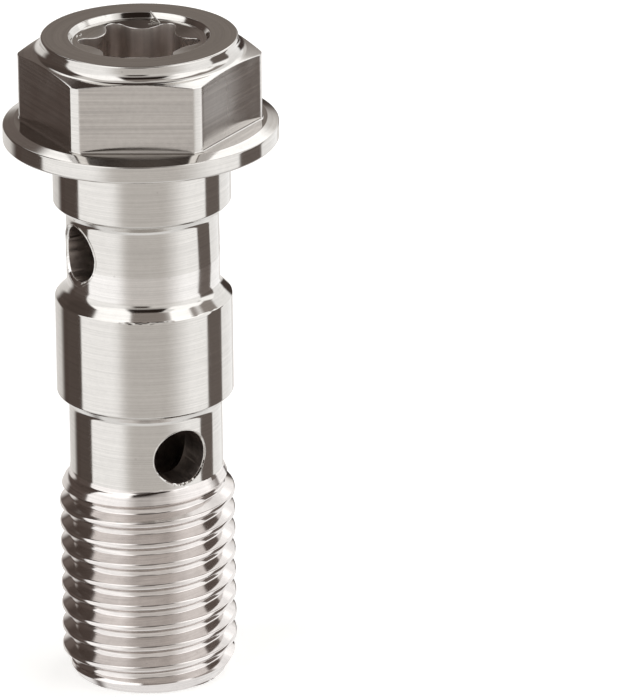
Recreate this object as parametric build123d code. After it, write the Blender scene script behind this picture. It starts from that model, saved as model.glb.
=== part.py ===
from build123d import *
import math
import os

# All sizes are millimetres and degrees. The bolt stands on its threaded tip at z = 0, its axis is Z
# and its head is at the top. The holes, the hex and the socket are turned about Z as in the frame:
# the upper cross hole runs along X, the lower one along Y, and two of the hex flats face along X.

# Lengths along the axis, from the tip up. One cross hole crosses the neck, one the groove.
THREAD_LENGTH = 12.3
NECK_BELOW_HOLE = 0.2
NECK_ABOVE_HOLE = 1.17
MIDDLE_LAND_LENGTH = 5.78
GROOVE_BELOW_HOLE = 0.805
GROOVE_ABOVE_HOLE = 0.95
UPPER_LAND_LENGTH = 3.65
FLANGE_RIM_HEIGHT = 0.97
HEAD_HEIGHT = 6.05

# Thread, right-hand
THREAD_DIAMETER = 9.9
THREAD_PITCH = 1.25
THREAD_DEPTH = 0.62
THREAD_FLANK_ANGLE = 30.0
THREAD_ROOT_WIDTH = 0.30
THREAD_ROOT_START = 0.233
TIP_CHAMFER_DEPTH = 0.65
TIP_CHAMFER_ANGLE = 30.0
LEAD_CHAMFER_ANGLE = 25.0

# Lands, groove and neck, measured from the thread so that an eye slides over it to the lands
LAND_OVER_THREAD = 0.025
GROOVE_DEPTH = 0.695
NECK_UNDER_ROOT = 0.02
LAND_EDGE_CHAMFER = 0.15
SHOULDER_FILLET = 0.85
CORNER_FILLET = 0.3

# Flange
FLANGE_DIAMETER = 15.4
FLANGE_EDGE = 0.12
FLANGE_FLOOR_DIAMETER = 14.1
FLANGE_BEVEL_HEIGHT = 0.24

# Hex and the raised ring on top of it
HEX_ACROSS_FLATS = 12.0
HEX_CORNER_CUT = 0.158
HEX_CHAMFER_ANGLE = 16.0
HEX_CHAMFER_DEPTH = 0.87
RING_INSET = 0.5
RING_EDGE = 0.14
RING_FOOT_FILLET = 0.4

# Six-lobe socket
SOCKET_MOUTH_DIAMETER = 7.88
SOCKET_MOUTH_CHAMFER = 0.21
SOCKET_SEAT_ANGLE = 9.0
SOCKET_POINT_DIAMETER = 6.75
SOCKET_WAIST_DIAMETER = 4.85
SOCKET_LOBE_RADIUS = 0.56
SOCKET_DEPTH = 3.3
SOCKET_FLOOR_ANGLE = 31.0

# Oil way
BORE_DIAMETER = 4.6
BORE_MOUTH_CHAMFER = 0.3
BORE_POINT_ANGLE = 31.0
BORE_PAST_UPPER_HOLE = 0.4
CROSS_HOLE_DIAMETER = 3.1
CROSS_HOLE_EDGE = 0.15

# Radii that follow
THREAD_OUTSIDE = THREAD_DIAMETER / 2
THREAD_ROOT = THREAD_OUTSIDE - THREAD_DEPTH
TIP = THREAD_OUTSIDE - TIP_CHAMFER_DEPTH
LAND = THREAD_OUTSIDE + LAND_OVER_THREAD
GROOVE = LAND - GROOVE_DEPTH
NECK = THREAD_ROOT - NECK_UNDER_ROOT
HEX_FLAT = HEX_ACROSS_FLATS / 2
HEX_CORNER = HEX_FLAT / math.cos(math.radians(30)) - HEX_CORNER_CUT
RING = HEX_FLAT - RING_INSET
BORE = BORE_DIAMETER / 2
CROSS_HOLE = CROSS_HOLE_DIAMETER / 2

# Heights that follow
LOWER_HOLE_Z = THREAD_LENGTH + NECK_BELOW_HOLE + CROSS_HOLE
NECK_TOP = LOWER_HOLE_Z + CROSS_HOLE + NECK_ABOVE_HOLE
MIDDLE_LAND_TOP = NECK_TOP + MIDDLE_LAND_LENGTH
SHOULDER_TOP = MIDDLE_LAND_TOP + GROOVE_DEPTH
UPPER_HOLE_Z = SHOULDER_TOP + GROOVE_BELOW_HOLE + CROSS_HOLE
GROOVE_TOP = UPPER_HOLE_Z + CROSS_HOLE + GROOVE_ABOVE_HOLE
SHANK_LENGTH = GROOVE_TOP + UPPER_LAND_LENGTH
RIM_TOP = SHANK_LENGTH + FLANGE_RIM_HEIGHT
FLOOR_TOP = RIM_TOP + FLANGE_BEVEL_HEIGHT
TOTAL_HEIGHT = SHANK_LENGTH + HEAD_HEIGHT
BORE_DEPTH = UPPER_HOLE_Z + CROSS_HOLE + BORE_PAST_UPPER_HOLE
SOCKET_FLOOR_Z = TOTAL_HEIGHT - SOCKET_DEPTH

# How far a cutting tool reaches past the surface it leaves through
CLEAR = 1.0
THREAD_CLEAR = 0.05

# The thread is cut in runs of this many turns
THREAD_RUN_TURNS = 3

# How near an edge must lie to the shank's surface to count as the mouth of a cross hole
MOUTH_TOLERANCE = 0.01


def tangent(angle):
    return math.tan(math.radians(angle))


def turned(points, rounds):
    """A solid turned about Z from (radius, height) points, with some of its corners rounded."""
    face = make_face(Polyline(*[(r, 0, z) for r, z in points], close=True))
    for (r, z), radius in rounds:
        corner = face.vertices().sort_by_distance((r, 0, z))[0]
        face = fillet(corner, radius)
    return revolve(face, Axis.Z, 360)


def shank():
    """The threaded end, the neck, the two lands and the groove between them, before the thread."""
    tip_chamfer = TIP_CHAMFER_DEPTH / tangent(TIP_CHAMFER_ANGLE)
    lead_chamfer = (THREAD_OUTSIDE - NECK) / tangent(LEAD_CHAMFER_ANGLE)
    # The shoulder is a cone at 45 degrees down into the groove, with a fillet at its foot.
    shoulder_foot = (GROOVE, SHOULDER_TOP)
    points = [
        (0, 0),
        (TIP, 0),
        (THREAD_OUTSIDE, tip_chamfer),
        (THREAD_OUTSIDE, THREAD_LENGTH - lead_chamfer),
        (NECK, THREAD_LENGTH),
        (NECK, NECK_TOP),
        (LAND - LAND_EDGE_CHAMFER, NECK_TOP),
        (LAND, NECK_TOP + LAND_EDGE_CHAMFER),
        (LAND, MIDDLE_LAND_TOP),
        shoulder_foot,
        (GROOVE, GROOVE_TOP),
        (LAND - LAND_EDGE_CHAMFER, GROOVE_TOP),
        (LAND, GROOVE_TOP + LAND_EDGE_CHAMFER),
        (LAND, SHANK_LENGTH + CLEAR / 2),
        (0, SHANK_LENGTH + CLEAR / 2),
    ]
    rounds = [
        ((NECK, NECK_TOP), CORNER_FILLET),
        (shoulder_foot, SHOULDER_FILLET),
        ((GROOVE, GROOVE_TOP), CORNER_FILLET),
    ]
    return turned(points, rounds)


def thread_run(turns, height):
    """A stretch of the helical cut of the thread, starting on the +X side at a height."""
    outer = THREAD_OUTSIDE + THREAD_CLEAR
    half_root = THREAD_ROOT_WIDTH / 2
    half_mouth = half_root + (outer - THREAD_ROOT) * tangent(THREAD_FLANK_ANGLE)
    section = make_face(
        Polyline(
            (THREAD_ROOT, 0, -half_root),
            (outer, 0, -half_mouth),
            (outer, 0, half_mouth),
            (THREAD_ROOT, 0, half_root),
            close=True,
        )
    )
    path = Helix(THREAD_PITCH, turns * THREAD_PITCH, THREAD_ROOT)
    return Pos(0, 0, height) * sweep(section, path=path, is_frenet=True)


def threaded(solid):
    """The solid with its thread cut, run by run, from below the tip to past the thread's far end."""
    run_height = THREAD_RUN_TURNS * THREAD_PITCH
    height = THREAD_ROOT_START - THREAD_PITCH
    while height < THREAD_LENGTH:
        solid -= thread_run(THREAD_RUN_TURNS, height)
        height += run_height
    return solid


def flange():
    """The flange: a plain rim under a bevel, with a level floor round the hex."""
    rim = FLANGE_DIAMETER / 2
    floor = FLANGE_FLOOR_DIAMETER / 2
    return turned(
        [
            (0, SHANK_LENGTH),
            (rim - FLANGE_EDGE, SHANK_LENGTH),
            (rim, SHANK_LENGTH + FLANGE_EDGE),
            (rim, RIM_TOP),
            (floor, FLOOR_TOP),
            (0, FLOOR_TOP),
        ],
        [],
    )


def hex_head():
    """The hex, its corners turned down, its top chamfered to a raised ring."""
    prism = Pos(0, 0, SHANK_LENGTH) * extrude(
        RegularPolygon(HEX_FLAT, 6, major_radius=False, rotation=30), HEAD_HEIGHT
    )
    chamfer_slope = tangent(HEX_CHAMFER_ANGLE)
    chamfer_base = TOTAL_HEIGHT - HEX_CHAMFER_DEPTH + HEX_FLAT * chamfer_slope
    ring_foot = (RING, chamfer_base - RING * chamfer_slope)
    envelope = turned(
        [
            (0, SHANK_LENGTH),
            (HEX_CORNER, SHANK_LENGTH),
            (HEX_CORNER, chamfer_base - HEX_CORNER * chamfer_slope),
            ring_foot,
            (RING, TOTAL_HEIGHT),
            (0, TOTAL_HEIGHT),
        ],
        [(ring_foot, RING_FOOT_FILLET), ((RING, TOTAL_HEIGHT), RING_EDGE)],
    )
    return prism & envelope


def lobe_outline():
    """The closed six-lobe outline: a lobe pointing between two flats, a bump facing each flat."""
    lobe = SOCKET_LOBE_RADIUS
    point = SOCKET_POINT_DIAMETER / 2
    waist = SOCKET_WAIST_DIAMETER / 2
    lobe_at = point - lobe
    inset = lobe - waist
    bump_at = (lobe_at**2 - inset**2) / (2 * (lobe_at * math.cos(math.radians(30)) + inset))
    bump = bump_at - waist

    def place(radius, angle):
        return Vector(radius * math.cos(math.radians(angle)), radius * math.sin(math.radians(angle)))

    def touch(bump_angle, lobe_angle):
        start = place(bump_at, bump_angle)
        return start + (place(lobe_at, lobe_angle) - start) * (bump / (bump + lobe))

    arcs = []
    for k in range(6):
        bump_angle = 60 * k
        before = touch(bump_angle, bump_angle - 30)
        after = touch(bump_angle, bump_angle + 30)
        following = touch(bump_angle + 60, bump_angle + 30)
        arcs.append(ThreePointArc(before, place(waist, bump_angle), after))
        arcs.append(ThreePointArc(after, place(point, bump_angle + 30), following))
    return make_face(arcs)


def socket():
    """The cut of the socket: a chamfered mouth, a shallow seat and the deep six-lobe hole."""
    mouth = SOCKET_MOUTH_DIAMETER / 2
    seat = mouth - SOCKET_MOUTH_CHAMFER
    seat_z = TOTAL_HEIGHT - SOCKET_MOUTH_CHAMFER
    mouth_cut = turned(
        [
            (0, seat_z - seat * tangent(SOCKET_SEAT_ANGLE)),
            (seat, seat_z),
            (mouth, TOTAL_HEIGHT),
            (mouth, TOTAL_HEIGHT + CLEAR),
            (0, TOTAL_HEIGHT + CLEAR),
        ],
        [],
    )
    lobes = Pos(0, 0, SOCKET_FLOOR_Z) * extrude(lobe_outline(), SOCKET_DEPTH + CLEAR)
    waist = SOCKET_WAIST_DIAMETER / 2
    floor_cone = turned(
        [
            (0, SOCKET_FLOOR_Z - waist * tangent(SOCKET_FLOOR_ANGLE)),
            (waist, SOCKET_FLOOR_Z),
            (waist, SOCKET_FLOOR_Z + CLEAR),
            (0, SOCKET_FLOOR_Z + CLEAR),
        ],
        [],
    )
    return mouth_cut + lobes + floor_cone


def axial_bore():
    """The blind oil way drilled up from the tip, with a chamfered mouth and a drill point."""
    return turned(
        [
            (0, -CLEAR),
            (BORE + BORE_MOUTH_CHAMFER, -CLEAR),
            (BORE + BORE_MOUTH_CHAMFER, 0),
            (BORE, BORE_MOUTH_CHAMFER),
            (BORE, BORE_DEPTH),
            (0, BORE_DEPTH + BORE * tangent(BORE_POINT_ANGLE)),
        ],
        [],
    )


def cross_hole(height, axis_turn):
    """A hole drilled right through the shank at a height, along X turned about Z."""
    drill = Rot(0, 90, 0) * Cylinder(CROSS_HOLE, 2 * (LAND + CLEAR))
    return Pos(0, 0, height) * Rot(0, 0, axis_turn) * drill


def hole_mouths(solid, reach, height):
    """The edges where a cross hole leaves the shank, which has a radius of reach there."""

    def on_mouth(point):
        near = abs(point.Z - height) < CROSS_HOLE + MOUTH_TOLERANCE
        return near and abs(math.hypot(point.X, point.Y) - reach) < MOUTH_TOLERANCE

    return [edge for edge in solid.edges() if all(on_mouth(edge @ t) for t in (0.0, 0.3, 0.7, 1.0))]


def bolt():
    body = threaded(shank()) + flange() + hex_head()
    body -= socket()
    body -= cross_hole(UPPER_HOLE_Z, 0)
    body -= cross_hole(LOWER_HOLE_Z, 90)
    body = chamfer(hole_mouths(body, GROOVE, UPPER_HOLE_Z), CROSS_HOLE_EDGE)
    body = chamfer(hole_mouths(body, NECK, LOWER_HOLE_Z), CROSS_HOLE_EDGE)
    body -= axial_bore()
    return body


os.makedirs("parts", exist_ok=True)
export_step(bolt().solid(), "parts/banjo_bolt.step")
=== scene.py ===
import math

import bmesh
import bpy
from bpy.props import FloatProperty, FloatVectorProperty, IntProperty, PointerProperty
from mathutils import Matrix, Vector, noise


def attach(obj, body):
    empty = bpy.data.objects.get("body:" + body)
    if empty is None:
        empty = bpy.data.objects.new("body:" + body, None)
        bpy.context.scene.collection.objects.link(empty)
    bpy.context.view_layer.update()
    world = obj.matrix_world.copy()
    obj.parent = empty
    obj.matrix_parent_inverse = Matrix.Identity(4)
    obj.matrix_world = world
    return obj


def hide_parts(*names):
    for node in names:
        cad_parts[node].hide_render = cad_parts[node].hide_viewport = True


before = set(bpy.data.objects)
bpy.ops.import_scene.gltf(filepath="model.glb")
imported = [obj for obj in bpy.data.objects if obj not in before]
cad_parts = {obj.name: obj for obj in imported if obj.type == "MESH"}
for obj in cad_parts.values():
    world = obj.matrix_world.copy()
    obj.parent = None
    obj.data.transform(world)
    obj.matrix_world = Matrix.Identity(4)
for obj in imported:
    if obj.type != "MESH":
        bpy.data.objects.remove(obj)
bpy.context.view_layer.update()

bl_info = {
    "name": "Double banjo bolt",
    "version": (1, 0, 0),
    "blender": (4, 5, 0),
    "location": "3D View > Sidebar > Banjo bolt",
    "description": "A turned stainless double banjo bolt and the studio it is shown in",
    "category": "Object",
}

MM = 0.001


# Sizes and colours


def linear(hex_colour):
    """The linear RGBA of an sRGB hex colour."""
    parts = [int(hex_colour[i : i + 2], 16) / 255 for i in (1, 3, 5)]
    return [p / 12.92 if p <= 0.04045 else ((p + 0.055) / 1.055) ** 2.4 for p in parts] + [1.0]


def length(name, description, millimetres):
    """A setting for a length, given here in millimetres."""
    return FloatProperty(
        name=name, description=description, default=millimetres * MM, precision=5, unit="LENGTH"
    )


def angle(name, description, degrees):
    """A setting for an angle, given here in degrees."""
    return FloatProperty(
        name=name, description=description, default=math.radians(degrees), subtype="ANGLE"
    )


def colour(name, description, hex_colour):
    """A setting for a colour, given here as sRGB hex."""
    return FloatVectorProperty(
        name=name, description=description, default=linear(hex_colour), size=4, min=0, max=1,
        subtype="COLOR",
    )


class BoltShankSizes(bpy.types.PropertyGroup):
    thread_diameter: length("Thread diameter", "Outside diameter of the thread", 9.9)
    thread_length: length("Thread length", "From the tip to the foot of the lead chamfer", 12.3)
    thread_pitch: length("Pitch", "Rise of the thread in one turn", 1.25)
    thread_depth: length("Thread depth", "From the crest to the root", 0.62)
    root_width: length("Root width", "Flat at the bottom of the thread", 0.30)
    root_start: length("Root start", "Height of the first root on the +X side", 0.233)
    tip_diameter: length("Tip diameter", "The flat end of the thread", 8.6)
    tip_angle: angle("Tip chamfer", "Chamfer at the tip, from the axis", 30)
    lead_angle: angle("Lead chamfer", "Chamfer at the thread's upper end, from the axis", 25)
    neck_diameter: length("Neck diameter", "Relief between the thread and the middle land", 8.62)
    neck_top: length("Neck top", "Height of the middle land's lower face", 16.77)
    land_diameter: length("Land diameter", "The two plain lands", 9.95)
    land_edge: length("Land edge", "Chamfer on each land's lower edge", 0.15)
    middle_land_top: length("Middle land top", "Height where the shoulder starts", 22.55)
    groove_diameter: length("Groove diameter", "Relief between the two lands", 8.56)
    groove_top: length("Groove top", "Height of the upper land's lower face", 28.1)
    tool_mark: length("Tool mark", "Height of the step where the grooving tool stopped", 25.0)
    shank_top: length("Shank top", "Height of the flange's underside", 31.75)
    bore_diameter: length("Bore diameter", "Oil way up the axis", 4.6)
    bore_depth: length("Bore depth", "Depth of the oil way at full diameter", 27.55)
    hole_diameter: length("Cross hole diameter", "The two holes through the shank", 3.1)
    upper_edge: length("Upper hole edge", "Break on the rims of the upper cross hole", 0.13)
    lower_edge: length("Lower hole edge", "Break on the rims of the lower cross hole", 0.1)
    upper_lip: length("Upper hole lip", "Raised lip outside the upper cross hole", 0.24)
    lower_lip: length("Lower hole lip", "Raised lip outside the lower cross hole", 0.1)
    lower_hole: length("Lower hole height", "Height of the hole along Y", 14.05)
    upper_hole: length("Upper hole height", "Height of the hole along X", 25.6)
    columns: IntProperty(name="Columns", description="Steps round the shank", default=264, min=48)


class BoltHeadSizes(bpy.types.PropertyGroup):
    flange_diameter: length("Flange diameter", "Outside diameter of the flange", 15.4)
    rim_height: length("Rim height", "Straight part of the flange's rim", 0.97)
    bevel_height: length("Bevel height", "Rise of the bevel on top of the flange", 0.24)
    floor_diameter: length("Floor diameter", "Level ring round the hex", 14.1)
    across_flats: length("Across flats", "Spanner size of the hex", 12.0)
    corner_diameter: length("Corner diameter", "The hex corners are turned down to this", 13.54)
    head_height: length("Head height", "From the flange's underside to the top", 6.05)
    chamfer_angle: angle("Hex chamfer", "Slope of the turned chamfer on top of the hex", 16)
    chamfer_depth: length("Chamfer depth", "Top of the flats below the ring's top", 0.87)
    ring_diameter: length("Ring diameter", "Raised ring round the socket", 11.0)
    mouth_diameter: length("Mouth diameter", "Mouth of the socket", 7.88)
    mouth_chamfer: length("Mouth chamfer width", "Width of the chamfer at the mouth", 0.21)
    mouth_depth: length("Mouth chamfer depth", "Depth of the chamfer at the mouth", 0.3)
    seat_angle: angle("Seat angle", "Slope of the seat inside the mouth", 7)
    point_diameter: length("Point diameter", "Across the lobes of the socket", 6.75)
    waist_diameter: length("Waist diameter", "Across the bumps of the socket", 4.85)
    lobe_radius: length("Lobe radius", "Radius of each lobe", 0.56)
    socket_depth: length("Socket depth", "From the top to the socket's floor", 3.3)
    floor_angle: angle("Floor angle", "Slope of the socket's floor", 31)
    columns: IntProperty(name="Columns", description="Steps round the head", default=480, min=48)


class BoltFinish(bpy.types.PropertyGroup):
    turned: colour("Turned", "The lands, the flange and the ring", "#cfccc8")
    recut: colour("Recut", "The lower half of the groove, cut again", "#dedbd8")
    thread: colour("Thread", "The cut thread", "#dcd7d4")
    milled: colour("Milled", "The flats of the hex", "#cfcbc7")
    drilled: colour("Drilled", "The oil way and the cross holes", "#aaa19b")
    broached: colour("Broached", "The walls of the socket", "#d2cac5")


class StudioSettings(bpy.types.PropertyGroup):
    floor: colour("Floor", "The pale floor", "#f4f4f3")
    width: FloatProperty(
        name="Floor width", description="Side of the floor", default=1.6, unit="LENGTH"
    )


# Making meshes

WEDGES = 12  # a full turn is one wedge of this many, spun and then copied round
SHARP = math.radians(35)  # an edge that turns by more than this isn't shaded smooth

# Roundings from this radius on have so many steps.
LARGE_ROUNDING, LARGE_ROUNDING_STEPS = 0.2 * MM, 8

# A straight longer than this has more points this far from its rounded ends, in millimetres.
LONG_STRAIGHT, INSETS = 0.15 * MM, (0.03, 0.07)

# A rough edge: how far it reaches, the size of its chips, how much it is worn back and how much it
# is bent up or down, all in millimetres, and the degrees in which a stretch of it fades out.
ROUGH_REACH, CHIPS, WORN_BACK, BENT, ROUGH_FADE = 0.065, 0.045, 0.012, 0.045, 4


def object_from(bm, name):
    """A new object at the origin with this mesh, its faces outward and shaded smooth."""
    bmesh.ops.recalc_face_normals(bm, faces=bm.faces)
    for face in bm.faces:
        face.smooth = True
    mesh = bpy.data.meshes.new(name)
    bm.to_mesh(mesh)
    bm.free()
    piece = bpy.data.objects.new(name, mesh)
    bpy.context.scene.collection.objects.link(piece)
    return piece


def rounded_corner(before, corner, after, steps):
    """The points of one corner: its rounding, or only itself where it has none or is an end."""
    here, rounding = Vector(corner[:2]), corner[2]
    if rounding == 0 or before is None or after is None:
        return [here]
    back = (Vector(before[:2]) - here).normalized()
    on = (Vector(after[:2]) - here).normalized()
    half = back.angle(on) / 2
    run = rounding / math.tan(half)
    centre = here + (back + on).normalized() * rounding / math.sin(half)
    start = here + back * run - centre
    sweep = start.angle_signed(here + on * run - centre)
    count = steps if rounding < LARGE_ROUNDING else LARGE_ROUNDING_STEPS
    return [centre + Matrix.Rotation(-sweep * k / count, 2) @ start for k in range(count + 1)]


def rounded(corners, steps=3):
    """The (radius, height) points of a line whose corners (radius, height, rounding) are rounded.

    Points close to each rounded end of a long straight keep the shading of the straight even.
    """
    neighbours = zip([None, *corners], corners, [*corners[1:], None])
    runs = [rounded_corner(*three, steps) for three in neighbours]
    points = runs[0][:]
    for before, after in zip(runs, runs[1:]):
        gap = after[0] - before[-1]
        if gap.length > LONG_STRAIGHT:
            insets = [gap.normalized() * distance * MM for distance in INSETS]
            points += [before[-1] + inset for inset in insets] if len(before) > 1 else []
            points += [after[0] - inset for inset in reversed(insets)] if len(after) > 1 else []
        points += after
    return points


def turned(points, steps, rise=0):
    """A line of (radius, height) points turned once round Z, rising by so much in the turn.

    Each vertex keeps the number of its point in the layer "row".
    """
    bm = bmesh.new()
    row = bm.verts.layers.int.new("row")
    verts = [bm.verts.new((r, 0, z)) for r, z in points]
    edges = [bm.edges.new(pair) for pair in zip(verts, verts[1:])]
    for k, v in enumerate(verts):
        v[row] = k
    wedge = math.tau / WEDGES
    bmesh.ops.spin(
        bm, geom=verts + edges, axis=(0, 0, 1), cent=(0, 0, 0), angle=wedge,
        steps=steps // WEDGES, dvec=(0, 0, rise / steps),
    )
    bmesh.ops.spin(
        bm, geom=bm.verts[:] + bm.edges[:] + bm.faces[:], axis=(0, 0, 1), cent=(0, 0, 0),
        angle=wedge * (WEDGES - 1), steps=WEDGES - 1, dvec=(0, 0, rise / WEDGES),
        use_duplicate=True,
    )
    return bm


def joined(parts):
    """One closed mesh from turned parts whose ends meet."""
    bm = bmesh.new()
    for part in parts:
        mesh = bpy.data.meshes.new("part")
        part.to_mesh(mesh)
        part.free()
        bm.from_mesh(mesh)
        bpy.data.meshes.remove(mesh)
    bmesh.ops.remove_doubles(bm, verts=bm.verts, dist=0.0004 * MM)
    return bm


def softer(a, b, blend):
    """The smaller of two lengths, eased where they are nearly the same."""
    h = min(max(0.5 + 0.5 * (b - a) / blend, 0), 1)
    return b + (a - b) * h - blend * h * (1 - h)


def edges_of(verts):
    """The edges at these vertices."""
    return list({e for v in verts for e in v.link_edges})


def set_radius(vert, radius):
    """Moves a vertex straight towards the axis or away from it, to this distance."""
    flat = vert.co.xy
    if flat.length > 0:
        vert.co.xy = flat * (radius / flat.length)


def roughen_edge(bm, height, radius, stretches):
    """Small chips and a burr on a turned edge, along stretches of it (from and to, in degrees)."""
    for v in bm.verts:
        away = math.hypot(v.co.z - height, v.co.xy.length - radius)
        near = 1 - away / (ROUGH_REACH * MM)
        direction = math.degrees(math.atan2(v.co.y, v.co.x))
        inside = max(min(direction - start, end - direction) for start, end in stretches)
        if near <= 0 or inside <= 0:
            continue
        size = min(near * 2, 1) * min(inside / ROUGH_FADE, 1)
        # The noise changes over about two degrees.
        chip = noise.noise(Vector((direction * 0.55, height / MM, 0)))
        bend = noise.noise(Vector((direction * 0.7, height / MM, 9)))
        set_radius(v, v.co.xy.length + (CHIPS * chip - WORN_BACK) * size * MM)
        v.co.z += BENT * bend * size * MM


def combine(piece, others, operation):
    """Cuts the others out of a piece, or adds them to it, and keeps the result as its mesh."""
    for other in others:
        modifier = piece.modifiers.new("combine", "BOOLEAN")
        modifier.object = other
        modifier.operation = operation
        modifier.solver = "EXACT"
    bpy.context.view_layer.update()
    evaluated = piece.evaluated_get(bpy.context.evaluated_depsgraph_get())
    mesh = bpy.data.meshes.new_from_object(evaluated)
    piece.modifiers.clear()
    old = piece.data
    mesh.name = piece.name
    piece.data = mesh
    bpy.data.meshes.remove(old)
    for other in others:
        bpy.data.meshes.remove(other.data)


# The shank

FLANK_SLOPE = math.tan(math.radians(30))  # of the thread's flanks, from across the axis
ROOT_ROUNDING, CREST_ROUNDING = 0.13 * MM, 0.1 * MM
CHAMFER_BLEND = 0.01 * MM  # how softly the thread's two chamfers meet
CREST_BLEND = 0.08 * MM  # how softly they cut off its crests
POINT_SLOPE = math.tan(math.radians(31))  # of the drill point at the end of the oil way
BORE_CHAMFER = 0.3 * MM
SHOULDER_FILLET, SHOULDER_EDGE = 0.85 * MM, 0.1 * MM
RECUT = 0.014 * MM  # how far the lower half of the groove stands out from the upper half
HALF_STEP = 0.03 * MM  # half the height of the step between the two

# The chamfer at a land's lower end: the rounding of its outer and its inner edge. The undercut from
# there to the neck or the groove (the relief): how far its corner is outside the relief and below
# the land, how far below the land it ends, and the roundings at its corner and at its end.
LAND_OUTER, LAND_INNER = 0.07 * MM, 0.05 * MM
UNDERCUT_OUT, UNDERCUT_DOWN, UNDERCUT_LENGTH = 0.3 * MM, 0.04 * MM, 0.5 * MM
UNDERCUT_CORNER, UNDERCUT_END = 0.25 * MM, 0.45 * MM

# Where the shoulder's edge and the middle land's lower edge are rough, in degrees from +X.
ROUGH_SHOULDER = [(-135, -97), (-80, -63), (20, 75)]
ROUGH_LAND_EDGE = [(-60, -40), (95, 120)]

# The directions of the cross holes, how much more ragged the bottom of each rim is, in
# millimetres, and the radius of the lip round it.
ALONG_X, ALONG_Y = 0, math.radians(90)
UPPER_RAGGED, LOWER_RAGGED = 0, 0.08
UPPER_LIP_SIZE, LOWER_LIP_SIZE = 0.05 * MM, 0.035 * MM


def thread_line(s):
    """The (radius, height) points of the thread's outline on the +X side, over its whole length."""
    root = s.thread_diameter / 2 - s.thread_depth
    crest = s.thread_diameter / 2
    flank = s.thread_depth * FLANK_SLOPE
    half_root = s.root_width / 2
    half_crest = s.thread_pitch / 2 - half_root - flank
    middle = s.thread_pitch / 2
    turn = [
        (root, 0, 0),
        (root, half_root, ROOT_ROUNDING),
        (crest, middle - half_crest, CREST_ROUNDING),
        (crest, middle + half_crest, CREST_ROUNDING),
        (root, s.thread_pitch - half_root, ROOT_ROUNDING),
        (root, s.thread_pitch, 0),
    ]
    one = rounded(turn, 2)[:-1]
    turns = math.ceil(s.thread_length / s.thread_pitch) + 2
    start = s.root_start - 2 * s.thread_pitch
    return [(r, start + k * s.thread_pitch + z) for k in range(turns) for r, z in one]


def thread(s):
    """The helical surface of the thread, turned down to the lead and tip chamfers at its ends."""
    bm = turned(thread_line(s), s.columns, s.thread_pitch)
    tip, neck, top = s.tip_diameter / 2, s.neck_diameter / 2, s.thread_length
    for v in bm.verts:
        if v.co.z <= 0:
            v.co.z = 0
            set_radius(v, tip)
        elif v.co.z >= top:
            v.co.z = top
            set_radius(v, neck)
        else:
            lead = neck + (top - v.co.z) * math.tan(s.lead_angle)
            chamfer = tip + v.co.z * math.tan(s.tip_angle)
            end = softer(lead, chamfer, CHAMFER_BLEND)
            set_radius(v, softer(v.co.xy.length, end, CREST_BLEND))
    return bm


def land_foot(s, relief, height):
    """The corners at the lower end of a land, and of the undercut from there to the relief."""
    land, edge = s.land_diameter / 2, s.land_edge
    return [
        (land, height + edge, LAND_OUTER),
        (land - edge, height, LAND_INNER),
        (relief + UNDERCUT_OUT, height - UNDERCUT_DOWN, UNDERCUT_CORNER),
        (relief, height - UNDERCUT_LENGTH, UNDERCUT_END),
    ]


def plain_line(s):
    """The points of the shank's outline from inside the flange down to the top of the thread.

    Two rows close above the thread keep the neck's shading even.
    """
    land, neck, groove = s.land_diameter / 2, s.neck_diameter / 2, s.groove_diameter / 2
    inside_flange = s.shank_top + 0.2 * MM
    return rounded(
        [
            (0, inside_flange, 0),
            (land, inside_flange, 0),
            *land_foot(s, groove, s.groove_top),
            (groove, s.tool_mark + HALF_STEP, 0),
            (groove + RECUT, s.tool_mark - HALF_STEP, 0),
            (groove + RECUT, s.middle_land_top + land - groove, SHOULDER_FILLET),
            (land, s.middle_land_top, SHOULDER_EDGE),
            *land_foot(s, neck, s.neck_top),
            (neck, s.thread_length + 0.1 * MM, 0),
            (neck, s.thread_length + 0.05 * MM, 0),
            (neck, s.thread_length, 0),
        ]
    )


def bore_line(s):
    """The points of the tip's flat end and of the oil way, up to its drill point."""
    bore = s.bore_diameter / 2
    return [
        (s.tip_diameter / 2, 0),
        (bore + BORE_CHAMFER, 0),
        (bore, BORE_CHAMFER),
        (bore, s.bore_depth),
        (0, s.bore_depth + bore * POINT_SLOPE),
    ]


def put_across(bm, height, turn, name):
    """An object from a mesh made along X, put across the shank at a height and in a direction."""
    bmesh.ops.remove_doubles(bm, verts=bm.verts, dist=0.0001 * MM)
    place = Matrix.Translation((0, 0, height)) @ Matrix.Rotation(turn, 4, "Z")
    bmesh.ops.transform(bm, verts=bm.verts, matrix=place)
    return object_from(bm, name)


def stray(across, height, side, ragged):
    """How far a rim strays from its circle, in millimetres, in a direction across the hole."""
    at_bottom = max(-across.y - 0.75, 0) / 0.25
    rough = noise.noise(Vector((across.x * 9, across.y * 9, height / MM + side)))
    return (0.02 + ragged * at_bottom) * rough


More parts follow.
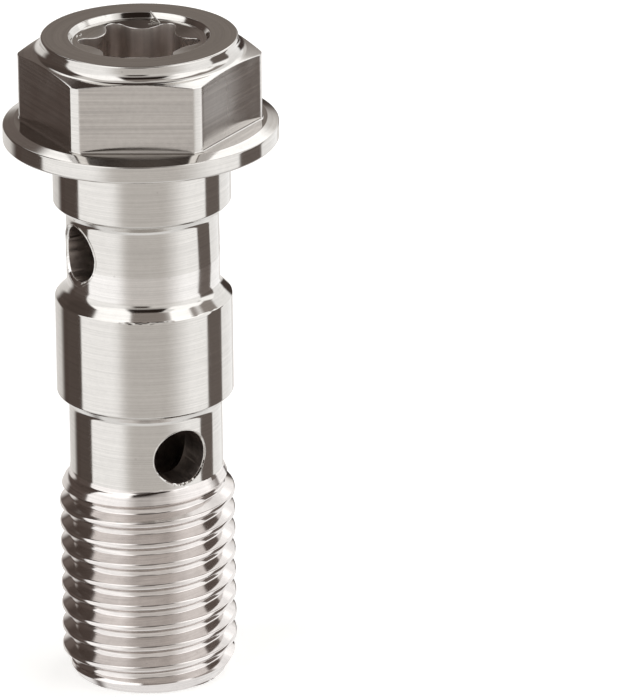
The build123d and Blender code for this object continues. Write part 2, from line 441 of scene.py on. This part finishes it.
def hole_cutter(s, height, turn, surface, edge, ragged):
    """A drill through the shank, with rims that follow the round surface."""
    hole = s.hole_diameter / 2
    # Each ring outward from the middle: its radius, and how far outside the surface it is.
    rings = [
        (hole, -1.2 * edge),
        (hole + 0.12 * edge, -0.95 * edge),
        (hole + 0.3 * edge, -0.7 * edge),
        (hole + 2 * edge, edge),
        (hole + 2 * edge, surface),
    ]
    bm = bmesh.new()
    for side in (-1, 1):
        loop = bmesh.ops.create_circle(bm, segments=128, radius=hole)["verts"]
        edges = edges_of(loop)
        for v in loop:
            v.co = (0, *(v.co.xy.normalized() * hole))
        for k, (radius, out) in enumerate(rings):
            grown = bmesh.ops.extrude_edge_only(bm, edges=edges)["geom"]
            loop = [g for g in grown if isinstance(g, bmesh.types.BMVert)]
            edges = [g for g in grown if isinstance(g, bmesh.types.BMEdge)]
            for v in loop:
                across = v.co.yz.normalized()
                across *= radius + (stray(across, height, side, ragged) * MM if k > 0 else 0)
                depth = math.sqrt(surface**2 - across.x**2) + out
                v.co = (side * depth, across.x, across.y)
        bmesh.ops.holes_fill(bm, edges=edges, sides=0)
    return put_across(bm, height, turn, "drill")


def rim_lip(s, height, turn, surface, away, size):
    """A thin uneven lip raised round both rims of a cross hole, so far outside the hole."""
    ring = s.hole_diameter / 2 + away
    upright = Matrix.Translation((0, 0, ring)) @ Matrix.Rotation(math.radians(90), 4, "X")
    bm = bmesh.new()
    for side in (-1, 1):
        section = bmesh.ops.create_circle(bm, segments=12, radius=size, matrix=upright)["verts"]
        before = set(bm.verts) - set(section)
        bmesh.ops.spin(
            bm, geom=section + edges_of(section), axis=(1, 0, 0), cent=(0, 0, 0), angle=math.tau,
            steps=144, use_merge=True,
        )
        for v in set(bm.verts) - before:
            across = v.co.yz
            # How thick the lip is here, in parts of its size.
            swell = 0.7 + 0.8 * noise.noise(Vector((across.x, across.y, side * MM)) * 1.6 / MM)
            past = across.length - ring
            across = across * ((ring + past * swell) / across.length)
            out = math.sqrt(surface**2 - across.x**2)
            v.co = (side * out + v.co.x * swell, across.x, across.y)
    return put_across(bm, height, turn, "lip")


def make_shank(s):
    """The shank from its tip to just inside the flange, with the bore and both cross holes."""
    land, neck, groove = s.land_diameter / 2, s.neck_diameter / 2, s.groove_diameter / 2
    plain = turned(plain_line(s), s.columns)
    roughen_edge(plain, s.middle_land_top, land, ROUGH_SHOULDER)
    roughen_edge(plain, s.neck_top, land - s.land_edge, ROUGH_LAND_EDGE)
    parts = [thread(s), plain, turned(bore_line(s), s.columns)]
    piece = object_from(joined(parts), "banjo_bolt_shank")
    upper, lower = (s.upper_hole, ALONG_X, groove), (s.lower_hole, ALONG_Y, neck)
    drills = [
        hole_cutter(s, *upper, s.upper_edge, UPPER_RAGGED),
        hole_cutter(s, *lower, s.lower_edge, LOWER_RAGGED),
    ]
    lips = [
        rim_lip(s, *upper, s.upper_lip, UPPER_LIP_SIZE),
        rim_lip(s, *lower, s.lower_lip, LOWER_LIP_SIZE),
    ]
    combine(piece, drills, "DIFFERENCE")
    combine(piece, lips, "UNION")
    piece.data.set_sharp_from_angle(angle=SHARP)
    return piece


def shank_region(s, centre):
    """0 for a turned face, 1 for the thread, 2 inside the bore and the holes, 3 for the recut.

    Each limit lies a little outside the surface that it takes in.
    """
    away, hole = centre.xy.length, s.hole_diameter / 2 + 0.01 * MM
    in_upper = math.hypot(centre.y, centre.z - s.upper_hole) < hole
    in_lower = math.hypot(centre.x, centre.z - s.lower_hole) < hole
    if in_upper or in_lower or away < s.bore_diameter / 2 + 0.02 * MM:
        return 2
    below_mark = s.middle_land_top < centre.z < s.tool_mark
    if below_mark and away < s.groove_diameter / 2 + 0.03 * MM:
        return 3
    return 1 if centre.z < s.thread_length else 0


# The head

SIXTH = math.radians(60)
SEAM = 0.05 * MM  # the flange's line ends and the hex's begins so far inside the level ring
FOOT = 0.09 * MM  # rounding where the flats meet the flange
CORNER_BLEND = 0.07 * MM  # how soft the edges between the flats and the turned faces are
CORNER_ROWS = (1.6, 0.25, 0.1, 0.03)  # rows of points below the top of the corners, in millimetres
CHAMFER_STEPS = 18
CHAMFER_INSIDE = 0.12 * MM  # the hex's chamfer runs on so far inside the flats
RING_FILLET, RING_EDGE = 0.62 * MM, 0.1 * MM
MOUTH_EDGE = 0.05 * MM
RING_TOP = 0.3 * MM  # the hex's line ends and the socket's begins so far inside the ring's edge
SEAT_START = 0.12 * MM  # the mouth's line ends and the lobes' begins so far down the seat

# Rows of points that follow the lobes, in millimetres: how far outside the wall each is, and how
# far below the seat's height at the wall.
LOBE_ROWS = [(0.05, 0), (0.02, 0.006), (0.006, 0.02), (0, 0.05), (0, 0.4), (0, 1.5)]

# Slivers of metal that the broach and the tool left in the socket's mouth: the two ends of each,
# as distance from the axis in millimetres, direction in degrees and depth below the top in
# millimetres, and its radius in millimetres.
SLIVERS = [
    ((3.97, 53.2, 0.0), (3.18, 41.4, 0.33), 0.06),
    ((3.2, 41.6, 0.35), (2.97, 52.8, 0.37), 0.05),
    ((3.43, 133.0, 0.33), (3.45, 134.2, 0.31), 0.06),
    ((3.57, 137.5, 0.31), (3.58, 138.6, 0.29), 0.06),
]


def from_flat(direction):
    """The angle from a direction to the middle of the nearest flat."""
    return (direction + SIXTH / 2) % SIXTH - SIXTH / 2


def hex_radius(h, direction):
    """How far a flat of the hex is from the axis in a direction."""
    return h.across_flats / 2 / math.cos(from_flat(direction))


def lobe_radius(h, direction):
    """How far the six-lobe wall is from the axis in a direction. A bump faces each flat."""
    turn = abs(from_flat(direction))
    lobe, point, waist = h.lobe_radius, h.point_diameter / 2, h.waist_diameter / 2
    lobe_at, inset = point - lobe, lobe - waist
    bump_at = (lobe_at**2 - inset**2) / (2 * (lobe_at * math.cos(SIXTH / 2) + inset))
    bump = bump_at - waist
    start = Vector((bump_at, 0))
    lobe_centre = Vector((lobe_at * math.cos(SIXTH / 2), lobe_at * math.sin(SIXTH / 2)))
    touch = start + (lobe_centre - start) * (bump / (bump + lobe))
    if turn < math.atan2(touch.y, touch.x):
        return bump_at * math.cos(turn) - math.sqrt(bump**2 - (bump_at * math.sin(turn)) ** 2)
    turn = SIXTH / 2 - turn
    return lobe_at * math.cos(turn) + math.sqrt(lobe**2 - (lobe_at * math.sin(turn)) ** 2)


def flange(h, base, floor_top):
    """The flange's underside, rim and bevel, in to where the level floor starts."""
    rim, floor = h.flange_diameter / 2, h.floor_diameter / 2
    chamfer, chamfer_rounding = 0.12 * MM, 0.06 * MM
    corners = [
        (0, base, 0),
        (rim - chamfer, base, chamfer_rounding),
        (rim, base + chamfer, chamfer_rounding),
        (rim, base + h.rim_height, 0.07 * MM),
        (floor, floor_top, 0.12 * MM),
        (floor - SEAM, floor_top, 0),
    ]
    return turned(rounded(corners), h.columns)


def hex_line(h, floor_top, cone_base, inner):
    """The turned outline of the hex: a rounded foot, the corners, and the chamfer on its top."""
    corner, slope = h.corner_diameter / 2, math.tan(h.chamfer_angle)
    line = [(h.floor_diameter / 2 - SEAM, floor_top)]
    for a in (math.radians(degrees) for degrees in (0, 30, 60, 90)):
        line.append((corner + FOOT * (1 - math.sin(a)), floor_top + FOOT * (1 - math.cos(a))))
    line.append((corner, floor_top + FOOT + 0.03 * MM))
    line += [(corner, cone_base - corner * slope - down * MM) for down in CORNER_ROWS]
    for k in range(CHAMFER_STEPS + 1):
        r = corner - (corner - inner) * k / CHAMFER_STEPS
        line.append((r, cone_base - r * slope))
    return line


def hexagon(h, floor_top, top):
    """The hex from the floor to the raised ring, as a turned outline cut back to the six flats."""
    flat, ring, slope = h.across_flats / 2, h.ring_diameter / 2, math.tan(h.chamfer_angle)
    cone_base = top - h.chamfer_depth + flat * slope
    inner = flat - CHAMFER_INSIDE
    hex_part = turned(hex_line(h, floor_top, cone_base, inner), h.columns)
    for v in hex_part.verts:
        # The outermost row stays where it is, to meet the flange.
        if v.co.xy.length > h.floor_diameter / 2 - SEAM - 0.01 * MM:
            continue
        below = max(FOOT - (v.co.z - floor_top), 0)
        rounding = FOOT - math.sqrt(max(FOOT**2 - below**2, 0))
        limit = hex_radius(h, math.atan2(v.co.y, v.co.x)) + rounding
        set_radius(v, softer(v.co.xy.length, limit, CORNER_BLEND))
    ring_corners = [
        (inner, cone_base - inner * slope, 0),
        (ring, cone_base - ring * slope, RING_FILLET),
        (ring, top, RING_EDGE),
        (ring - RING_TOP, top, 0),
    ]
    return [hex_part, turned(rounded(ring_corners), h.columns)]


def socket_lobes(h, top, seat_start):
    """The seat from where the mouth ends, the six-lobe wall and the socket's floor."""
    waist, floor = h.waist_diameter / 2, top - h.socket_depth
    seat_outer, seat_top = h.mouth_diameter / 2 - h.mouth_chamfer, top - h.mouth_depth
    # The lobes' rows are spun as circles first, and then moved out to the wall.
    line = [seat_start] + [(waist, top - (1 + k) * 0.1 * MM) for k in range(len(LOBE_ROWS))]
    line += [(waist, floor), (waist * 0.97, floor), (0, floor - waist * math.tan(h.floor_angle))]
    bm = turned(line, h.columns)
    row_layer = bm.verts.layers.int["row"]
    for v in bm.verts:
        row = v[row_layer]
        if not 1 <= row <= len(LOBE_ROWS) + 1:
            continue
        wall = lobe_radius(h, math.atan2(v.co.y, v.co.x))
        if row <= len(LOBE_ROWS):
            out, down = LOBE_ROWS[row - 1]
            set_radius(v, wall + out * MM)
            v.co.z = seat_top - (seat_outer - wall) * math.tan(h.seat_angle) - down * MM
        else:
            set_radius(v, wall)
    return bm


def socket(h, top):
    """The ring's top, the mouth, the seat and the six-lobe hole with its floor."""
    mouth = h.mouth_diameter / 2
    seat_outer, seat_top = mouth - h.mouth_chamfer, top - h.mouth_depth
    seat_start = (seat_outer - SEAT_START, seat_top - SEAT_START * math.tan(h.seat_angle))
    corners = [
        (h.ring_diameter / 2 - RING_TOP, top, 0),
        (mouth, top, MOUTH_EDGE),
        (seat_outer, seat_top, MOUTH_EDGE),
        (*seat_start, 0),
    ]
    return [turned(rounded(corners), h.columns), socket_lobes(h, top, seat_start)]


def sliver(top, start, end, radius):
    """A thin raised bit of metal between two points."""
    ends = []
    for away, direction, depth in (start, end):
        turn = math.radians(direction)
        ends.append(Vector((away * math.cos(turn), away * math.sin(turn), -depth)) * MM)
    along = ends[1] - ends[0]
    middle = (ends[0] + ends[1]) / 2 + Vector((0, 0, top))
    bm = bmesh.new()
    bmesh.ops.create_cone(
        bm, cap_ends=True, segments=14, radius1=radius * MM, radius2=0.7 * radius * MM,
        depth=along.length,
        matrix=Matrix.Translation(middle) @ along.to_track_quat("Z", "Y").to_matrix().to_4x4(),
    )
    return object_from(bm, "sliver")


def make_head(h, base):
    """The flange, the hex and the raised ring with its socket."""
    top = base + h.head_height
    floor_top = base + h.rim_height + h.bevel_height
    parts = [flange(h, base, floor_top), *hexagon(h, floor_top, top), *socket(h, top)]
    piece = object_from(joined(parts), "banjo_bolt_head")
    combine(piece, [sliver(top, *ends) for ends in SLIVERS], "UNION")
    piece.data.set_sharp_from_angle(angle=SHARP)
    return piece


def head_region(h, base, centre, normal):
    """0 for a turned face of the head, 1 for the six flats, 2 for the socket's walls and floor."""
    direction, away = math.atan2(centre.y, centre.x), centre.xy.length
    seat = base + h.head_height - h.mouth_depth - 0.12 * MM
    if away < h.point_diameter / 2 + 0.02 * MM:
        in_wall = away < lobe_radius(h, direction) + 0.01 * MM
        return 2 if in_wall and centre.z < seat else 0
    on_flat = abs(away - hex_radius(h, direction)) < 0.02 * MM
    return 1 if on_flat and abs(normal.z) < 0.2 else 0


# Materials

# The fine grain, the pits and the duller and brighter patches: their sizes in millimetres, and how
# much the first two count beside the streaks.
GRAIN, GRAIN_WEIGHT = 0.3, 0.35
PIT_SPACING, PIT_WEIGHT = 1.3, 0.6
PIT_EDGE = {"From Min": 0.03, "From Max": 0.06}  # where a pit ends, in parts of the spacing
PATCHES = 2.5
PATCHES_RANGE = {"From Min": 0.3, "From Max": 0.7}
MARKS_RANGE = {"From Min": 1.03, "From Max": 1.52}  # from the darkest marks to the lightest

# The corner of the hex that is rubbed dull, in millimetres, and how far from it the wear starts to
# fade and ends.
RUBBED_CORNER = (1.0, -6.4, 34.6)
RUBBED_RANGE = {"From Min": 0.3 * MM, "From Max": 4.6 * MM}


def add_node(tree, kind, inputs=None, **settings):
    """Adds a node, gives it its settings, and sets or links its inputs."""
    node = tree.nodes.new(kind)
    for name, value in settings.items():
        setattr(node, name, value)
    for key, value in (inputs or {}).items():
        if isinstance(value, bpy.types.NodeSocket):
            tree.links.new(value, node.inputs[key])
        else:
            node.inputs[key].default_value = value
    return node


def streaks(tree, place, around, along, from_axis):
    """Noise drawn out along the path of the tool.

    The streaks are so many millimetres long along X and Y, and along Z. The distance from the
    axis counts as height by so much, which lays rings on the faces that stand across the axis.
    """
    parts = add_node(tree, "ShaderNodeSeparateXYZ", {0: place}).outputs
    flat = add_node(
        tree, "ShaderNodeVectorMath", {0: place, 1: (1, 1, 0)}, operation="MULTIPLY"
    ).outputs[0]
    radius = add_node(tree, "ShaderNodeVectorMath", {0: flat}, operation="LENGTH").outputs["Value"]
    height = add_node(
        tree, "ShaderNodeMath", {0: radius, 1: from_axis, 2: parts["Z"]}, operation="MULTIPLY_ADD"
    ).outputs[0]
    level = add_node(
        tree, "ShaderNodeCombineXYZ", {"X": parts["X"], "Y": parts["Y"], "Z": height}
    ).outputs[0]
    per_metre = (1 / (around * MM), 1 / (around * MM), 1 / (along * MM))
    drawn_out = add_node(
        tree, "ShaderNodeVectorMath", {0: level, 1: per_metre}, operation="MULTIPLY"
    ).outputs[0]
    return add_node(
        tree, "ShaderNodeTexNoise",
        {"Vector": drawn_out, "Scale": 1, "Detail": 2, "Roughness": 0.6},
    ).outputs["Fac"]


def surface_marks(tree, place, lines):
    """The height of the surface: the streaks, a fine grain over them, and a few pits in the bar."""
    grain = add_node(
        tree, "ShaderNodeTexNoise",
        {"Vector": place, "Scale": 1 / (GRAIN * MM), "Detail": 3, "Roughness": 0.7},
    ).outputs["Fac"]
    from_pit = add_node(
        tree, "ShaderNodeTexVoronoi",
        {"Vector": place, "Scale": 1 / (PIT_SPACING * MM), "Randomness": 1},
    ).outputs["Distance"]
    whole = add_node(tree, "ShaderNodeMapRange", {"Value": from_pit, **PIT_EDGE}).outputs[0]
    marks = add_node(
        tree, "ShaderNodeMath", {0: grain, 1: GRAIN_WEIGHT, 2: lines}, operation="MULTIPLY_ADD"
    ).outputs[0]
    return add_node(
        tree, "ShaderNodeMath", {0: whole, 1: PIT_WEIGHT, 2: marks}, operation="MULTIPLY_ADD"
    ).outputs[0]


def patchy_roughness(tree, place, roughness, rubbed):
    """Duller and brighter patches round a roughness, and one rubbed corner, duller by so much."""
    cloud = add_node(
        tree, "ShaderNodeTexNoise", {"Vector": place, "Scale": 1 / (PATCHES * MM), "Detail": 3}
    ).outputs["Fac"]
    patches = add_node(
        tree, "ShaderNodeMapRange",
        {"Value": cloud, **PATCHES_RANGE, "To Min": roughness * 0.7, "To Max": roughness * 1.4},
    ).outputs[0]
    if not rubbed:
        return patches
    from_corner = add_node(
        tree, "ShaderNodeVectorMath", {0: place, 1: [c * MM for c in RUBBED_CORNER]},
        operation="DISTANCE",
    ).outputs["Value"]
    dull = add_node(
        tree, "ShaderNodeMapRange",
        {"Value": from_corner, **RUBBED_RANGE, "To Min": rubbed, "To Max": 0},
        interpolation_type="SMOOTHSTEP",
    ).outputs[0]
    return add_node(tree, "ShaderNodeMath", {0: patches, 1: dull}, operation="ADD").outputs[0]


def machined_steel(name, base, *, around, along, from_axis, contrast, depth, roughness, rubbed=0):
    """Austenitic stainless steel as a cutting tool leaves it: a grey mirror streaked by its tool.

    The streaks are those of the tool's feed, drawn a little coarser than the real ones, which
    would be too fine to show. They darken and lighten the steel by so much (contrast) and stand
    so many millimetres high (depth), so that each reflection is drawn out across them.
    """
    material = bpy.data.materials.new(name)
    material.use_nodes = True
    tree = material.node_tree
    shader = tree.nodes["Principled BSDF"]
    shader.inputs["Metallic"].default_value = 1
    place = add_node(tree, "ShaderNodeTexCoord").outputs["Object"]
    marks = surface_marks(tree, place, streaks(tree, place, around, along, from_axis))
    bump = add_node(
        tree, "ShaderNodeBump", {"Height": marks, "Distance": depth * MM, "Strength": 1}
    )
    shade = add_node(tree, "ShaderNodeMapRange", {"Value": marks, **MARKS_RANGE}).outputs[0]
    darker = [c * (1 - contrast) for c in base[:3]] + [1]
    lighter = [min(c * (1 + 0.5 * contrast), 1) for c in base[:3]] + [1]
    tint = add_node(
        tree, "ShaderNodeMix", {0: shade, 6: darker, 7: lighter}, data_type="RGBA"
    ).outputs[2]
    rough = patchy_roughness(tree, place, roughness, rubbed)
    tree.links.new(bump.outputs[0], shader.inputs["Normal"])
    tree.links.new(tint, shader.inputs["Base Color"])
    tree.links.new(rough, shader.inputs["Roughness"])
    return material


def turned_steel(name, base):
    """Turned or faced on a lathe: fine rings round the axis, and smooth, clear reflections."""
    return machined_steel(
        name, base, around=7, along=0.06, from_axis=0.6, contrast=0.12, depth=0.0006,
        roughness=0.08,
    )


def recut_steel(base):
    """Turned a second time: paler than the rest, with rings a little wider and less sharp."""
    return machined_steel(
        "recut stainless steel", base, around=7, along=0.07, from_axis=0.6, contrast=0.12,
        depth=0.0006, roughness=0.1,
    )


def thread_steel(base):
    """Cut by a threading tool that tears the flanks a little: stronger, shorter streaks."""
    return machined_steel(
        "cut thread steel", base, around=5, along=0.08, from_axis=0.6, contrast=0.16,
        depth=0.001, roughness=0.1,
    )


def drilled_steel(base):
    """Drilled and left so: darker and dull, mottled and not streaked."""
    return machined_steel(
        "drilled steel", base, around=0.6, along=0.6, from_axis=0, contrast=0.2, depth=0.002,
        roughness=0.35,
    )


def milled_steel(base):
    """Milled along the flats: long level brush-like lines, and one corner rubbed dull."""
    return machined_steel(
        "milled stainless steel", base, around=16, along=0.15, from_axis=0, contrast=0.2,
        depth=0.0012, roughness=0.13, rubbed=0.2,
    )


def broached_steel(base):
    """Broached from above: dull walls with streaks that run down into the socket."""
    return machined_steel(
        "broached steel", base, around=0.5, along=6.0, from_axis=0, contrast=0.2, depth=0.001,
        roughness=0.33,
    )


def paper(base):
    """White backdrop paper: matt, and bright enough of itself that only a soft shade shows."""
    material = bpy.data.materials.new("matt white paper")
    material.use_nodes = True
    shader = material.node_tree.nodes["Principled BSDF"]
    shader.inputs["Base Color"].default_value = base
    shader.inputs["Roughness"].default_value = 0.9
    shader.inputs["Specular IOR Level"].default_value = 0.1
    shader.inputs["Emission Color"].default_value = base
    shader.inputs["Emission Strength"].default_value = 0.5
    return material


def give_materials(piece, region, materials):
    """Gives a piece its materials, each face the one whose number region(centre, normal) says."""
    piece.data.materials.clear()
    for material in materials:
        piece.data.materials.append(material)
    for face in piece.data.polygons:
        face.material_index = region(face.center, face.normal)


# The studio

# The camera's azimuth round the object, its place, its pan, tilt and roll, and its focal length in
# millimetres. The angles are in degrees.
CAMERA_AZIMUTH = -27.5
CAMERA_PLACE = (-215.762 * MM, -414.475 * MM, 198.710 * MM)
CAMERA_PAN = 28.7097
CAMERA_TILT = -21.0325
CAMERA_ROLL = 0.5907
CAMERA_LENS = 500.73

# What the steel mirrors: a white room, and in it sheets, screens and lamps. Each has the bearings
# of its two sides from the camera (right positive), the elevations of its lower and upper edge,
# how soft its sides and how soft its edges are, all in degrees, then its sRGB colour and its
# brightness. A later line covers an earlier one.
ROOM = "#e9e6e3", 1.05
SURROUNDINGS = [
    # The table, and the shade at its back
    (-200, 200, -95, -36, 1, 6, "#ffffff", 1.05),
    (150, 210, -66, -48, 12, 7, "#b5aeaa", 1.0),
    # The left wall, its soft right part, and a lamp high on it
    (-91, -45, -36, 71, 1.5, 3, "#ffffff", 1.32),
    (-80, -27, -36, 71, 11, 3, "#ffffff", 1.32),
    (-89, -28, 33, 70, 3, 5, "#ffffff", 1.65),
    # The sheet in front and the right wall
    (-29, 80, -40, 8, 18, 9, "#e0dcd8", 0.97),
    (46, 140, -40, 66, 22, 3, "#ffffff", 1.32),
    # The dark above the camera, its darkest part, and a dark spot lower down
    (-27, 32, 34, 90, 6, 14, "#645a54", 1.0),
    (-25, 37, 37, 60, 3, 3, "#2c2420", 1.0),
    (-16, 8, 12, 26, 5, 4, "#463d38", 1.0),
    # High on the right: a lamp, two grey sheets, and two lamps lower down
    (55, 89, 42, 67, 3, 4, "#ffffff", 1.7),
    (-31, 57, 62, 77, 3, 3, "#9c948f", 1.0),
    (88, 122, 22, 72, 3, 6, "#a59d98", 1.0),
    (42, 101, 27, 45, 4, 4, "#ffffff", 1.65),
    (92, 124, 9, 28, 4, 3, "#ffffff", 1.5),
    # The right screen, and the white sheet behind it
    (90, 120, -56, 9, 2, 5, "#776e69", 1.0),
    (122, 158, -32, 42, 3, 6, "#ffffff", 1.2),
    # The left screen, in overlapping parts
    (-135, -105, -56, 40, 8, 4, "#5c514c", 1.0),
    (-119, -91, -56, 50, 2, 4, "#605651", 1.0),
    (-174, -97, 7, 36, 4, 5, "#5c514c", 1.0),
    (-153, -95, 24, 54, 3, 3, "#544a45", 1.0),
    # The back screens
    (150, 176, -12, 8, 3, 3, "#4a413d", 1.0),
    (168, 194, 6, 32, 5, 5, "#8c847e", 1.0),
    (150, 212, 30, 79, 5, 3, "#4a413d", 1.0),
    # Lamps at the back, and two small screens beside them
    (145, 171, 26, 60, 3, 5, "#ffffff", 1.75),
    (197, 216, 38, 58, 3, 4, "#ffffff", 1.6),
    (-178, -152, 12, 42, 4, 3, "#776d68", 1.0),
    (177, 189, 26, 33, 3, 2, "#5e5550", 1.0),
    # The ceiling
    (-200, 200, 83, 98, 1, 4, "#d0cbc7", 1.0),
]


def glow(hex_colour, brightness):
    """The colour of a lit sheet, which may be brighter than white."""
    return [c * brightness for c in linear(hex_colour)[:3]] + [1]


def sheet_cover(tree, level, elevation, left, right, low, high, soft_side, soft_edge):
    """How much of a sheet is in a direction of view: 1 inside it, 0 outside, and soft between."""
    middle = math.radians(CAMERA_AZIMUTH - 90 + (left + right) / 2)
    beside = add_node(
        tree, "ShaderNodeVectorMath", {0: level, 1: (math.cos(middle), math.sin(middle), 0)},
        operation="DOT_PRODUCT",
    ).outputs["Value"]
    turn = add_node(tree, "ShaderNodeMath", {0: beside}, operation="ARCCOSINE").outputs[0]
    rise = add_node(
        tree, "ShaderNodeMath", {0: elevation, 1: math.radians((low + high) / 2)},
        operation="SUBTRACT",
    ).outputs[0]
    rise = add_node(tree, "ShaderNodeMath", {0: rise}, operation="ABSOLUTE").outputs[0]
    cover = 1
    sides = (turn, (right - left) / 2, soft_side), (rise, (high - low) / 2, soft_edge)
    for distance, half, soft in sides:
        inside = add_node(
            tree, "ShaderNodeMapRange",
            {
                "Value": distance,
                "From Min": math.radians(half - soft), "From Max": math.radians(half + soft),
                "To Min": 1, "To Max": 0,
            },
            interpolation_type="SMOOTHSTEP",
        ).outputs[0]
        cover = add_node(
            tree, "ShaderNodeMath", {0: inside, 1: cover}, operation="MULTIPLY"
        ).outputs[0]
    return cover


def studio_world():
    """The surroundings that the steel mirrors, and plain white where the camera looks past it."""
    world = bpy.data.worlds.new("Studio")
    bpy.context.scene.world = world
    world.use_nodes = True
    tree = world.node_tree
    tree.nodes.clear()
    toward = add_node(tree, "ShaderNodeTexCoord").outputs["Generated"]
    up = add_node(tree, "ShaderNodeSeparateXYZ", {0: toward}).outputs["Z"]
    elevation = add_node(tree, "ShaderNodeMath", {0: up}, operation="ARCSINE").outputs[0]
    flat = add_node(
        tree, "ShaderNodeVectorMath", {0: toward, 1: (1, 1, 0)}, operation="MULTIPLY"
    ).outputs[0]
    level = add_node(tree, "ShaderNodeVectorMath", {0: flat}, operation="NORMALIZE").outputs[0]
    light = glow(*ROOM)
    for *shape, hex_colour, brightness in SURROUNDINGS:
        cover = sheet_cover(tree, level, elevation, *shape)
        light = add_node(
            tree, "ShaderNodeMix", {0: cover, 6: light, 7: glow(hex_colour, brightness)},
            data_type="RGBA",
        ).outputs[2]
    seen = add_node(tree, "ShaderNodeLightPath").outputs["Is Camera Ray"]
    studio = add_node(tree, "ShaderNodeBackground", {"Color": light}).outputs[0]
    plain = add_node(tree, "ShaderNodeBackground", {"Color": (1, 1, 1, 1)}).outputs[0]
    both = add_node(tree, "ShaderNodeMixShader", {0: seen, 1: studio, 2: plain}).outputs[0]
    add_node(tree, "ShaderNodeOutputWorld", {"Surface": both})


def studio_camera():
    """The camera at the height, bearing and distance the photograph was taken from."""
    data = bpy.data.cameras.new("Camera")
    data.sensor_fit = "HORIZONTAL"
    data.sensor_width = 36
    data.lens = CAMERA_LENS
    data.clip_start, data.clip_end = 0.01, 20
    camera = bpy.data.objects.new("Camera", data)
    pan = Matrix.Rotation(math.radians(-CAMERA_PAN), 4, "Z")
    tilt = Matrix.Rotation(math.radians(90 + CAMERA_TILT), 4, "X")
    roll = Matrix.Rotation(math.radians(-CAMERA_ROLL), 4, "Z")
    camera.matrix_world = Matrix.Translation(CAMERA_PLACE) @ pan @ tilt @ roll
    bpy.context.scene.collection.objects.link(camera)
    bpy.context.scene.camera = camera


def studio_floor(settings):
    """The paper that the bolt stands on. The steel mirrors the table's white in its place."""
    bm = bmesh.new()
    bmesh.ops.create_grid(bm, x_segments=8, y_segments=8, size=settings.width / 2)
    floor = object_from(bm, "studio_floor")
    floor.data.materials.append(paper(settings.floor))
    floor.visible_glossy = False


# Operators


class BOLT_OT_shank(bpy.types.Operator):
    """Add the threaded shank with its lands, groove, neck and holes"""

    bl_idname = "bolt.shank"
    bl_label = "Threaded shank"

    def execute(self, context):
        colours, sizes = context.scene.bolt_finish, context.scene.bolt_shank
        piece = make_shank(sizes)
        give_materials(
            piece,
            lambda centre, normal: shank_region(sizes, centre),
            [
                turned_steel("turned stainless steel", colours.turned),
                thread_steel(colours.thread),
                drilled_steel(colours.drilled),
                recut_steel(colours.recut),
            ],
        )
        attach(piece, "root")
        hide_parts("banjo_bolt")
        return {"FINISHED"}


class BOLT_OT_head(bpy.types.Operator):
    """Add the flanged hex head with its raised ring and six-lobe socket"""

    bl_idname = "bolt.head"
    bl_label = "Flanged hex head"

    def execute(self, context):
        colours, sizes = context.scene.bolt_finish, context.scene.bolt_head
        base = context.scene.bolt_shank.shank_top
        piece = make_head(sizes, base)
        give_materials(
            piece,
            lambda centre, normal: head_region(sizes, base, centre, normal),
            [
                turned_steel("faced stainless steel", colours.turned),
                milled_steel(colours.milled),
                broached_steel(colours.broached),
            ],
        )
        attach(piece, "root")
        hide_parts("banjo_bolt")
        return {"FINISHED"}


class BOLT_OT_studio(bpy.types.Operator):
    """Add the pale floor, the studio light and the camera"""

    bl_idname = "bolt.studio"
    bl_label = "Studio"

    def execute(self, context):
        studio_floor(context.scene.bolt_studio)
        studio_world()
        studio_camera()
        context.scene.view_settings.view_transform = "Standard"
        return {"FINISHED"}


class BOLT_PT_panel(bpy.types.Panel):
    bl_label = "Banjo bolt"
    bl_idname = "BOLT_PT_panel"
    bl_space_type = "VIEW_3D"
    bl_region_type = "UI"
    bl_category = "Banjo bolt"

    def draw(self, context):
        scene = context.scene
        for title, settings, operator in (
            ("Shank", scene.bolt_shank, "bolt.shank"),
            ("Head", scene.bolt_head, "bolt.head"),
            ("Finish", scene.bolt_finish, None),
            ("Studio", scene.bolt_studio, "bolt.studio"),
        ):
            box = self.layout.box()
            box.label(text=title)
            for name in settings.__annotations__:
                box.prop(settings, name)
            if operator:
                box.operator(operator)


CLASSES = (
    BoltShankSizes,
    BoltHeadSizes,
    BoltFinish,
    StudioSettings,
    BOLT_OT_shank,
    BOLT_OT_head,
    BOLT_OT_studio,
    BOLT_PT_panel,
)
SETTINGS = {
    "bolt_shank": BoltShankSizes,
    "bolt_head": BoltHeadSizes,
    "bolt_finish": BoltFinish,
    "bolt_studio": StudioSettings,
}


def register():
    for cls in CLASSES:
        bpy.utils.register_class(cls)
    for name, cls in SETTINGS.items():
        setattr(bpy.types.Scene, name, PointerProperty(type=cls))


def unregister():
    for name in SETTINGS:
        delattr(bpy.types.Scene, name)
    for cls in reversed(CLASSES):
        bpy.utils.unregister_class(cls)


def main():
    """Makes the bolt and its studio."""
    register()
    bpy.ops.bolt.shank()
    bpy.ops.bolt.head()
    bpy.ops.bolt.studio()


if __name__ == "__main__":
    main()
